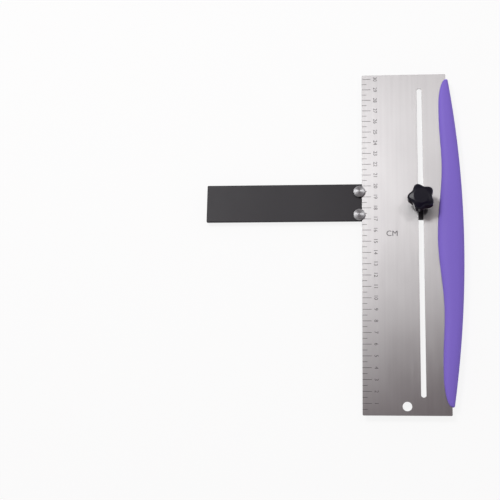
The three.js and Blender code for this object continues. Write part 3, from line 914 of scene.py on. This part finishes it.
@dataclass
class Handle:
    """The moulded handle: two shells that close on the blade's edge, and their screws.

    Attributes:
        outer_lap: How far it laps over the blade at its outer crests.
        waist_lap: How far it laps over the blade between crests.
        end_reach: How far it stands past the blade's edge at its ends.
        crest_pitch: From the middle crest to an outer one.
        waist_place: Where a waist lies between two crests, as a share of their pitch.
        end_taper: The length over which the lap is rounded off at each end.
        end_round: The length over which each tip is rounded.
        tip_share: The share of the section that is left at a tip.
        squareness: The exponent of its superelliptic section.
        gap: Between the shells, and from them to the blade.
        screw_head: The radius of a screw's head.
        screw_head_height: How tall the head is.
        screw_shank: The radius of a screw's shank.
        screw_crown: How far the head's face falls from its middle to its rim.
        screw_round: How far a screw's edges are rounded.
        recess_span: The length of an arm of the head's cross recess.
        recess_width: The width of an arm.
        recess_depth: The depth of the recess.
        recess_slope: How far a side of the recess leans in.
        rows: How many sections a shell is drawn with.
        arch: How many steps a section's arch has.
    """

    outer_lap: float = 6.65 * MM
    waist_lap: float = 4.9 * MM
    end_reach: float = 1.9 * MM
    crest_pitch: float = 112.0 * MM
    waist_place: float = 0.58
    end_taper: float = 26.0 * MM
    end_round: float = 1.0 * MM
    tip_share: float = 0.3
    squareness: float = 2.6
    gap: float = 0.15 * MM
    screw_head: float = 2.5 * MM
    screw_head_height: float = 1.5 * MM
    screw_shank: float = 1.45 * MM
    screw_crown: float = 0.12 * MM
    screw_round: float = 0.35 * MM
    recess_span: float = 2.8 * MM
    recess_width: float = 0.7 * MM
    recess_depth: float = 0.8 * MM
    recess_slope: float = 0.2 * MM
    rows: int = 300
    arch: int = 48

    def section(self, y: Array) -> tuple[Array, Array, Array]:
        """The handle's section at some heights. The lap eases by half cosines between its crests and waists
        and is rounded off by a quarter ellipse at each end, the reach is a circular bow, and the thickness
        goes with the square root of the width.

        Args:
            y: The heights.

        Returns:
            The section's middle in X, half its width and half its thickness.
        """
        low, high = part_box("handle_front_shell")
        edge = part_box("blade")[1].x
        middle, half_length = (low.y + high.y) / 2, (high.y - low.y) / 2
        most_lap, most_reach = edge - low.x, high.x - edge
        away = np.abs(y - middle)
        waist = self.crest_pitch * self.waist_place
        inner = (1 - np.cos(math.pi * np.clip(away / waist, 0, 1))) / 2
        outer = (1 - np.cos(math.pi * np.clip((away - waist) / (self.crest_pitch - waist), 0, 1))) / 2
        lap = most_lap + (self.waist_lap - most_lap) * inner + (self.outer_lap - self.waist_lap) * outer
        into_taper = np.clip((away - half_length + self.end_taper) / self.end_taper, 0, 1)
        lap = lap * np.sqrt(1 - into_taper**2)
        rise = most_reach - self.end_reach
        bow = (half_length**2 + rise**2) / (2 * rise)
        reach = most_reach - bow + np.sqrt(bow**2 - away**2)
        into_tip = np.clip((away - half_length + self.end_round) / self.end_round, 0, 1)
        tip = self.tip_share + (1 - self.tip_share) * np.sqrt(1 - into_tip**2)
        width = lap + reach
        thickness = high.z * np.sqrt(width / (most_lap + most_reach))
        return edge + (reach - lap) / 2, width / 2 * tip, thickness * tip

    def shell(self, side: Side) -> bpy.types.Mesh:
        """One shell: superelliptic arches along the handle, whose inner foot stands on the blade's face and
        whose outer foot stands on the parting plane, closed underneath by a step round the blade's edge.

        Args:
            side: Which half it is.

        Returns:
            The mesh, not yet cut for the screws.
        """
        low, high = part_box("handle_front_shell")
        blade_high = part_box("blade")[1]
        station = (1 - np.cos(np.linspace(0.0, math.pi, self.rows))) / 2
        y = low.y + (high.y - low.y) * station
        middle, half_width, half_thickness = (values[:, None] for values in self.section(y))
        pocket = blade_high.z + self.gap
        parting = self.gap / 2
        power = self.squareness / 2
        inner_foot = np.arcsin(np.clip(pocket / half_thickness, 0, 1) ** power)
        outer_foot = np.arcsin(np.clip(parting / half_thickness, 0, 1) ** power)
        share = np.linspace(0.0, 1.0, self.arch + 1)[None, :]
        angle = (math.pi - inner_foot) * (1 - share) + outer_foot * share
        x = middle + half_width * np.sign(np.cos(angle)) * np.abs(np.cos(angle)) ** (1 / power)
        z = half_thickness * np.sin(angle) ** (1 / power)
        step_x = np.clip(np.full_like(middle, blade_high.x + self.gap), x[:, :1], x[:, -1:])
        x = np.hstack([x, step_x, step_x])
        z = np.hstack([z, np.full_like(middle, parting), np.full_like(middle, pocket)])
        grid = np.stack([x, np.broadcast_to(y[:, None], x.shape), side.value * z], axis=-1)
        first, last = grid[:1].mean(axis=1, keepdims=True), grid[-1:].mean(axis=1, keepdims=True)
        caps = [np.broadcast_to(end, (1, grid.shape[1], 3)) for end in (first, last)]
        return surface_mesh(f"handle_{side.name.lower()}", np.vstack([caps[0], grid, caps[1]]))

    def sunk(self, shell: bpy.types.Mesh) -> bpy.types.Mesh:
        """The rear shell with a counterbore at each screw.

        Args:
            shell: The whole shell.

        Returns:
            The cut shell.
        """
        bore = self.screw_head + self.gap
        made = linked("handle_rear_uncut", shell)
        cutters = []
        for screw in SCREW_NODES:
            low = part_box(screw)[0]
            floor = low.z + self.screw_head_height + self.gap
            profile = np.array([(0.0, 2 * low.z), (bore, 2 * low.z), (bore, floor), (0.0, floor)])
            bored = surface_mesh("counterbore", revolved(profile, sides=64), axis_of(screw))
            cutter = linked("counterbore", bored)
            cut = made.modifiers.new("counterbore", "BOOLEAN")
            cut.object = cutter
            cutters.append(cutter)
        mesh = evaluated_mesh(made)
        for cutter in cutters:
            bpy.data.objects.remove(cutter)
        return finish_mesh(mesh, sharp_degrees=30.0)

    def screw(self, node: str) -> bpy.types.Mesh:
        """A pan-head screw: rings about its axis, the head's face sunk where a ring's point lies inside the
        cross, which is two crossing bars with slightly sloping sides.

        Args:
            node: The CAD node that it stands for.

        Returns:
            The finished mesh.
        """
        low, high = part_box(node)
        sides, steps = 160, 56
        share = np.linspace(0.0, 1.0, steps)[:, None]
        flat = self.screw_head - self.screw_head_height / 2
        face = rings(share * flat, 0.0, circle(sides))
        x, y = np.abs(face[..., 0]), np.abs(face[..., 1])
        half_span, half_width = self.recess_span / 2, self.recess_width / 2
        level_bar = np.maximum(x - half_span, y - half_width)
        upright_bar = np.maximum(y - half_span, x - half_width)
        inside = np.minimum(level_bar, upright_bar)
        sunk = np.clip(0.5 - inside / self.recess_slope, 0.0, 1.0) * self.recess_depth
        face[..., 2] = low.z + sunk + self.screw_crown * share**2
        seat = low.z + self.screw_head_height
        rim = [
            (flat, low.z + self.screw_crown),
            (self.screw_head, low.z + self.screw_head_height / 2),
            (self.screw_head, seat),
            (self.screw_shank, seat),
            (self.screw_shank, high.z - self.screw_shank),
            (0.0, high.z),
        ]
        body = revolved(eased(rim, self.screw_round), sides)
        return surface_mesh(node.replace("handle_", ""), np.vstack([face, body]), axis_of(node))

    def build(self) -> None:
        """Builds and dresses the shells and the screws."""
        front = self.shell(Side.FRONT)
        rear = self.sunk(self.shell(Side.REAR))
        Piece("handle_front", front, HANDLE_VIOLET, Body.BLADE, ("handle_front_shell",)).place()
        Piece("handle_rear", rear, HANDLE_VIOLET, Body.BLADE, ("handle_rear_shell",)).place()
        for node in SCREW_NODES:
            name = node.replace("handle_", "sunk_")
            Piece(name, self.screw(node), FASTENER_ZINC, Body.BLADE, (node,)).place()


@dataclass
class SlidingArm:
    """The smoothing arm, the rivets that guide it along the scraping edge, and its clamp bolt.

    Attributes:
        corner: The radius of the arm's corners.
        ease: The radius of its edges.
        tail_width: The width of its tail behind the blade, which is centred on the bolt.
        tail_start: From the blade's scraping edge to where the tail begins.
        rivet_head: The radius of a rivet's head.
        rivet_head_height: How tall the head is.
        rivet_rim: The straight edge below the dome.
        rivet_fullness: The exponent of the dome's superellipse.
        rivet_shoulder: The radius of the shoulder that the blade's edge runs along.
        rivet_tail: The radius of the tail through the arm.
        rivet_tail_head: The radius of the closed tail.
        rivet_tail_height: How tall the closed tail is.
        rivet_round: How far a rivet's edges are rounded.
        washer_round: How far the edges of the washers under the rivets are rounded.
        gap: Between fixed pieces.
        bolt: The clamp bolt's radius.
        bolt_head_height: How tall its head is.
        thread_pitch: The pitch of its thread.
        thread_depth: The depth of its thread.
        thread_rings: How many rings a turn of the thread is drawn with.
        neck_shortfall: The arm thickness that its square neck leaves free.
    """

    corner: float = 1.0 * MM
    ease: float = 0.5 * MM
    tail_width: float = 29.4 * MM
    tail_start: float = 8.0 * MM
    rivet_head: float = 5.0 * MM
    rivet_head_height: float = 2.6 * MM
    rivet_rim: float = 0.5 * MM
    rivet_fullness: float = 3.0
    rivet_shoulder: float = 2.0 * MM
    rivet_tail: float = 1.5 * MM
    rivet_tail_head: float = 2.8 * MM
    rivet_tail_height: float = 1.2 * MM
    rivet_round: float = 0.12 * MM
    washer_round: float = 0.1 * MM
    gap: float = 0.15 * MM
    bolt: float = 1.95 * MM
    bolt_head_height: float = 2.3 * MM
    thread_pitch: float = 0.7 * MM
    thread_depth: float = 0.3 * MM
    thread_rings: int = 10
    neck_shortfall: float = 0.6 * MM

    def strip(self) -> bpy.types.Mesh:
        """The arm: a rounded strip that narrows to its tail, with a square hole for the bolt's neck and round
        holes for the rivets.

        Returns:
            The finished mesh.
        """
        low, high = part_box("arm")
        neck = self.bolt + self.gap
        bolt = middle_of("clamp_bolt")
        tail = self.tail_width / 2
        wide = rounded_rectangle(low, high, self.corner)
        slim = rounded_rectangle((low.x, bolt.y - tail), (high.x, bolt.y + tail), self.corner)
        half = len(wide) // 2
        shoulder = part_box("blade")[0].x + self.tail_start
        step_up = [(shoulder, bolt.y + tail), (shoulder, high.y)]
        step_down = [(shoulder, low.y), (shoulder, bolt.y - tail)]
        outline = np.vstack([slim[:half], step_up, wide[half:], step_down])
        square = np.array([(-neck, -neck), (neck, -neck), (neck, neck), (-neck, neck)]) + (bolt.x, bolt.y)
        holes = [hole_outline(node, self.rivet_tail + self.gap) for node in RIVET_NODES]
        return plate_mesh("arm_strip", [outline, square, *holes], low.z, high.z, self.ease)

    def rivet(self, node: str) -> bpy.types.Mesh:
        """A guide rivet: a domed head, a shoulder, a tail and its closed end, turned about one axis.

        Args:
            node: The CAD node that it stands for.

        Returns:
            The finished mesh.
        """
        low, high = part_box(node)
        arm_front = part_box("arm")[1].z
        head_base = high.z - self.rivet_head_height
        tail_base = low.z + self.rivet_tail_height
        stem = [
            (self.rivet_tail_head, tail_base),
            (self.rivet_tail, tail_base),
            (self.rivet_tail, arm_front + self.gap),
            (self.rivet_shoulder, arm_front + self.gap),
            (self.rivet_shoulder, head_base),
            (self.rivet_head, head_base),
            (self.rivet_head, head_base + self.rivet_rim),
        ]
        closed_tail = dome(self.rivet_tail_head, tail_base, -self.rivet_tail_height)[::-1]
        head_rise = self.rivet_head_height - self.rivet_rim
        head = dome(self.rivet_head, head_base + self.rivet_rim, head_rise, self.rivet_fullness)
        profile = np.vstack([closed_tail, eased(stem, self.rivet_round), head])
        return surface_mesh(node, revolved(profile, sides=128), axis_of(node))

    def clamp_bolt(self) -> bpy.types.Mesh:
        """The clamp bolt: rings about its axis. The neck's rings are squares, each point's radius being the
        half width over the larger of its sine and cosine, and the thread's rings dip by a triangle wave that
        climbs one pitch in a turn.

        Returns:
            The finished mesh.
        """
        low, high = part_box("clamp_bolt")
        head_radius = (high.x - low.x) / 2
        head_top = low.z + self.bolt_head_height
        neck_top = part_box("arm")[1].z - self.neck_shortfall
        sides = 96
        angle = circle(sides)
        head_dome = dome(head_radius, head_top, -self.bolt_head_height)[::-1]
        head = revolved(np.vstack([head_dome, [(self.bolt, head_top)]]), sides)
        square = self.bolt / np.maximum(np.abs(np.cos(angle)), np.abs(np.sin(angle)))
        neck_height = np.array([head_top, neck_top])[:, None]
        thread_height = np.arange(neck_top, high.z, self.thread_pitch / self.thread_rings)[:, None]
        phase = (thread_height - neck_top) / self.thread_pitch - angle / (2 * math.pi)
        dip = 2 * np.abs(phase - np.floor(phase) - 0.5)
        runout = np.clip((high.z - thread_height) / self.thread_pitch, 0.0, 1.0)
        thread = self.bolt - self.thread_depth * (1 - dip * runout)
        radius = np.vstack([np.broadcast_to(square, (2, sides)), thread, np.zeros((1, sides))])
        height = np.vstack([neck_height, thread_height, [[high.z]]])
        shank = rings(radius, height, angle)
        return surface_mesh("clamp_bolt_threaded", np.vstack([head, shank]), axis_of("clamp_bolt"))

    def build(self) -> None:
        """Builds and dresses the arm, its rivets and washers, and the bolt."""
        Piece("arm_strip", self.strip(), ARM_BLACK, Body.ARM, ("arm",)).place()
        for node in RIVET_NODES:
            Piece(f"polished_{node}", self.rivet(node), RIVET_STEEL, Body.ARM, (node,)).place()
        for node in RIVET_WASHER_NODES:
            washer = ring_mesh(node, node, self.rivet_tail + self.gap, self.washer_round)
            Piece(f"polished_{node}", washer, RIVET_STEEL, Body.ARM, (node,)).place()
        Piece("clamp_bolt_threaded", self.clamp_bolt(), FASTENER_ZINC, Body.ARM, ("clamp_bolt",)).place()


@dataclass
class Clamp:
    """The star knob with its threaded insert, and the washer under it.

    Attributes:
        lobes: How many lobes the star has.
        tip: The radius at a lobe's tip.
        valley: The radius between lobes.
        rest_turn: Where a lobe points at rest, anticlockwise from X.
        hub: The hub's radius.
        hub_height: The hub's height.
        hub_fillet: The rounding between the hub and the star.
        under_round: The rounding of the star's lower edge.
        face: The radius of the flat middle of the top.
        crown_fall: How far the top falls from its flat middle to the circle of the lobes' tips.
        top_round: The rounding of the star's upper edge.
        pocket: The radius of the insert's pocket.
        pocket_cover: From the pocket's end to the top.
        post_round: How far the edges of the hub and the pocket are rounded.
        washer_bore: The radius of the washer's hole.
        washer_round: How far the washer's edges are rounded.
        sides: How many points a ring has.
        round_steps: How many steps a rounding has.
        under_steps: How many steps the star's underside has.
        crown_steps: How many steps its top has.
    """

    lobes: int = 5
    tip: float = 11.8 * MM
    valley: float = 9.1 * MM
    rest_turn: float = math.radians(38.3)
    hub: float = 6.3 * MM
    hub_height: float = 7.4 * MM
    hub_fillet: float = 1.0 * MM
    under_round: float = 1.2 * MM
    face: float = 6.5 * MM
    crown_fall: float = 1.3 * MM
    top_round: float = 2.0 * MM
    pocket: float = 3.45 * MM
    pocket_cover: float = 6.85 * MM
    post_round: float = 0.3 * MM
    washer_bore: float = 2.25 * MM
    washer_round: float = 0.15 * MM
    sides: int = 320
    round_steps: int = 12
    under_steps: int = 8
    crown_steps: int = 39

    def star(self) -> bpy.types.Mesh:
        """The knob: rings about its axis. A ring's radius blends from a circle to the star's outline, a
        cosine wave of lobes, and the rings follow the pocket, the hub, the star's underside, its rounded
        edges and its top, flat in the middle and a shallow cone from there to the tips.

        Returns:
            The finished mesh.
        """
        low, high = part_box("star_knob")
        place = middle_of("clamp_washer")
        height = high.z - low.z
        quarter = np.linspace(0.0, math.pi / 2, self.round_steps + 1)
        top = height - self.pocket_cover
        pocket = [(0.0, top), (self.pocket, top), (self.pocket, 0.0)]
        post = [*pocket, (self.hub, 0.0), (self.hub, self.hub_height - self.hub_fillet)]
        fillet = np.column_stack([
            self.hub + self.hub_fillet * (1 - np.cos(quarter)),
            self.hub_height - self.hub_fillet * (1 - np.sin(quarter)),
        ])
        inner = np.vstack([eased(post, self.post_round), fillet[1:]])
        span = np.linspace(0.0, 1.0, self.under_steps + 1)[1:, None]
        angle = circle(self.sides)
        middle, swing = (self.tip + self.valley) / 2, (self.tip - self.valley) / 2
        outline = middle + swing * np.cos(self.lobes * (angle - self.rest_turn))
        under_edge = outline - self.under_round
        under = inner[-1, 0] + (under_edge - inner[-1, 0]) * span
        lower_round = outline - self.under_round * (1 - np.sin(quarter[1:, None]))
        shoulder = outline - self.top_round * (1 - np.cos(quarter[:, None]))
        top_edge = outline - self.top_round
        top_span = np.linspace(1.0, 0.0, self.crown_steps + 1)[1:, None]
        crown = top_span * (top_edge * top_span + top_edge.mean() * (1 - top_span))
        lower = np.vstack([np.repeat(inner[:, :1], self.sides, axis=1), under, lower_round])
        upper = np.vstack([shoulder, crown])
        lower_level = np.concatenate([
            inner[:, 1],
            np.full(len(under), self.hub_height),
            self.hub_height + self.under_round * (1 - np.cos(quarter[1:])),
        ])[:, None]
        rounding = np.concatenate([self.top_round * (1 - np.sin(quarter)), np.zeros(len(crown))])[:, None]
        outward = np.clip((upper - self.face) / (self.tip - self.face), 0.0, 1.0)
        upper_level = height - self.crown_fall * outward - rounding
        radius = np.vstack([lower, upper])
        level = np.vstack([np.broadcast_to(lower_level, lower.shape), upper_level])
        grid = rings(radius, level, angle)
        return surface_mesh("star_knob_moulded", grid, (place.x, place.y, low.z))

    def build(self) -> None:
        """Builds and dresses the washer and the knob, and dresses the insert's CAD node."""
        ring = ring_mesh("clamp_washer_plated", "clamp_washer", self.washer_bore, self.washer_round)
        Piece("clamp_washer_plated", ring, FASTENER_ZINC, Body.WASHER, ("clamp_washer",)).place()
        Piece("star_knob_moulded", self.star(), KNOB_BLACK, Body.KNOB, ("star_knob",)).place()
        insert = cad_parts["knob_insert"].data
        insert.materials.clear()
        insert.materials.append(INSERT_BRASS.material())
        LOG.info("knob_insert: CAD node in %s", INSERT_BRASS.name)


@dataclass(frozen=True)
class Softbox:
    """A rectangular lamp that faces the tool.

    Attributes:
        name: The lamp's name.
        from_zenith: Its angle from straight up, in degrees.
        azimuth: Its angle from Y towards X, in degrees.
        distance: How far it is from the middle of the blade.
        size: Its width and height.
        watts: Its power.
    """

    name: str
    from_zenith: float
    azimuth: float
    distance: float
    size: tuple[float, float]
    watts: float

    def light(self, target: Vector) -> None:
        """Hangs the lamp and turns it to a target.

        Args:
            target: What it faces.
        """
        lamp = bpy.data.lights.new(self.name, "AREA")
        lamp.shape = "RECTANGLE"
        lamp.size, lamp.size_y = self.size
        lamp.energy = self.watts
        made = linked(self.name, lamp)
        zenith, azimuth = math.radians(self.from_zenith), math.radians(self.azimuth)
        level = math.sin(zenith)
        way = Vector((level * math.sin(azimuth), level * math.cos(azimuth), math.cos(zenith)))
        made.location = target + way * self.distance
        made.rotation_euler = way.to_track_quat("Z", "Y").to_euler()


@dataclass
class Studio:
    """The floor, the lamps, the surroundings and the camera.

    Attributes:
        floor_colour: The floor's colour.
        floor_glow: The share of the floor's look that is plain white, to the camera and in reflections.
        floor_size: Half the floor's width.
        overhead: The surroundings' light straight up.
        horizon: Their light at eye level.
        dim_climb: How steeply a ray climbs where they begin to dim, and where they are dimmest.
        lamps: The lamps.
        lens: The camera's focal length, in millimetres on a sensor of 36.
        tilt: How far the camera's picture is tipped about its own X, in degrees.
        yaw: How far about the blade's Y.
        roll: How far about the line of sight.
        aim: A point on the blade's face, from its lower left corner.
        ahead: How far that point lies to the right of the lens, above it, and in front of it.
    """

    floor_colour: Colour = (0.86, 0.86, 0.86)
    floor_glow: float = 0.87
    floor_size: float = 4.0
    overhead: Colour = (0.070, 0.022, 0.034)
    horizon: Colour = (0.9, 0.9, 0.9)
    dim_climb: tuple[float, float] = (0.25, 0.85)
    lamps: tuple[Softbox, ...] = (
        Softbox("left_softbox", 31.8, -51.0, 1.2, (0.26, 0.26), 6.2),
        Softbox("high_softbox", 20.6, -58.0, 1.2, (0.16, 0.16), 0.86),
        Softbox("right_softbox", 30.2, 55.5, 1.2, (0.16, 0.16), 1.19),
        Softbox("far_softbox", 28.9, 0.0, 1.4, (0.6, 0.3), 1.3),
    )
    lens: float = 93.6
    tilt: float = -16.09
    yaw: float = -5.84
    roll: float = -1.26
    aim: tuple[float, float] = (38.0 * MM, 152.0 * MM)
    ahead: tuple[float, float, float] = (133.97 * MM, 9.69 * MM, 1111.5 * MM)

    def floor(self) -> None:
        """A plain pale floor under the tool, partly lit and partly plain white."""
        level = CAD_BOX[0][2]
        far = self.floor_size
        mesh = bpy.data.meshes.new("floor")
        corners = [(x, y, level) for x, y in ((-far, -far), (far, -far), (far, far), (-far, far))]
        mesh.from_pydata(corners, [], [(0, 1, 2, 3)])
        made = linked("floor", mesh)
        shader = Shader("floor_paper")
        shader.put(Base_Color=(*self.floor_colour, 1.0), Roughness=0.9)
        path = shader.nodes.new("ShaderNodeLightPath")
        seen = shader.add(path.outputs["Is Camera Ray"], path.outputs["Is Glossy Ray"])
        seen = shader.add(seen, path.outputs["Is Transmission Ray"])
        share = shader.nodes.new("ShaderNodeMath")
        share.operation = "MULTIPLY"
        share.use_clamp = True
        share.inputs[1].default_value = self.floor_glow
        shader.links.new(seen, share.inputs[0])
        white = shader.nodes.new("ShaderNodeEmission")
        mix = shader.nodes.new("ShaderNodeMixShader")
        shader.links.new(share.outputs["Value"], mix.inputs["Fac"])
        shader.links.new(shader.surface.outputs["BSDF"], mix.inputs[1])
        shader.links.new(white.outputs["Emission"], mix.inputs[2])
        shader.links.new(mix.outputs["Shader"], shader.nodes["Material Output"].inputs["Surface"])
        mesh.materials.append(shader.material)

    def surroundings(self) -> None:
        """A room that is pale at eye level and dim overhead, by how steeply a ray climbs."""
        world = bpy.data.worlds.new("studio_room")
        world.use_nodes = True
        nodes, links = world.node_tree.nodes, world.node_tree.links
        way = nodes.new("ShaderNodeTexCoord")
        split = nodes.new("ShaderNodeSeparateXYZ")
        climb = nodes.new("ShaderNodeMapRange")
        climb.interpolation_type = "SMOOTHSTEP"
        for name, value in zip(("From Min", "From Max"), self.dim_climb):
            climb.inputs[name].default_value = value
        room = nodes.new("ShaderNodeMix")
        room.data_type = "RGBA"
        room.inputs[MIX_FIRST].default_value = (*self.horizon, 1.0)
        room.inputs[MIX_SECOND].default_value = (*self.overhead, 1.0)
        links.new(way.outputs["Generated"], split.inputs["Vector"])
        links.new(split.outputs["Z"], climb.inputs["Value"])
        links.new(climb.outputs["Result"], room.inputs["Factor"])
        links.new(room.outputs[MIX_RESULT], nodes["Background"].inputs["Color"])
        bpy.context.scene.world = world

    def camera(self) -> None:
        """The photograph's view: the blade's frame turned by yaw, tilt and roll, in that order."""
        low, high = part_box("blade")
        turn = (
            Matrix.Rotation(math.radians(self.roll), 3, "Z")
            @ Matrix.Rotation(math.radians(self.tilt), 3, "X")
            @ Matrix.Rotation(math.radians(self.yaw), 3, "Y")
        )
        aim = Vector((low.x + self.aim[0], low.y + self.aim[1], high.z))
        right, up, depth = self.ahead
        lens = bpy.data.cameras.new("photo_view")
        lens.lens = self.lens
        lens.clip_end = 20.0
        made = linked("photo_view", lens)
        place = aim - turn.transposed() @ Vector((right, up, -depth))
        made.matrix_world = Matrix.Translation(place) @ turn.transposed().to_4x4()
        bpy.context.scene.camera = made

    def build(self) -> None:
        """Sets up the whole studio."""
        bpy.context.scene.view_settings.view_transform = "Standard"
        self.floor()
        self.surroundings()
        for lamp in self.lamps:
            lamp.light(middle_of("blade"))
        self.camera()


def main() -> None:
    """Builds the tool's sub-assemblies and the studio."""
    logging.basicConfig(level=logging.INFO, format="%(name)s: %(message)s")
    Blade().build()
    Handle().build()
    SlidingArm().build()
    Clamp().build()
    Studio().build()


if __name__ == "__main__":
    main()
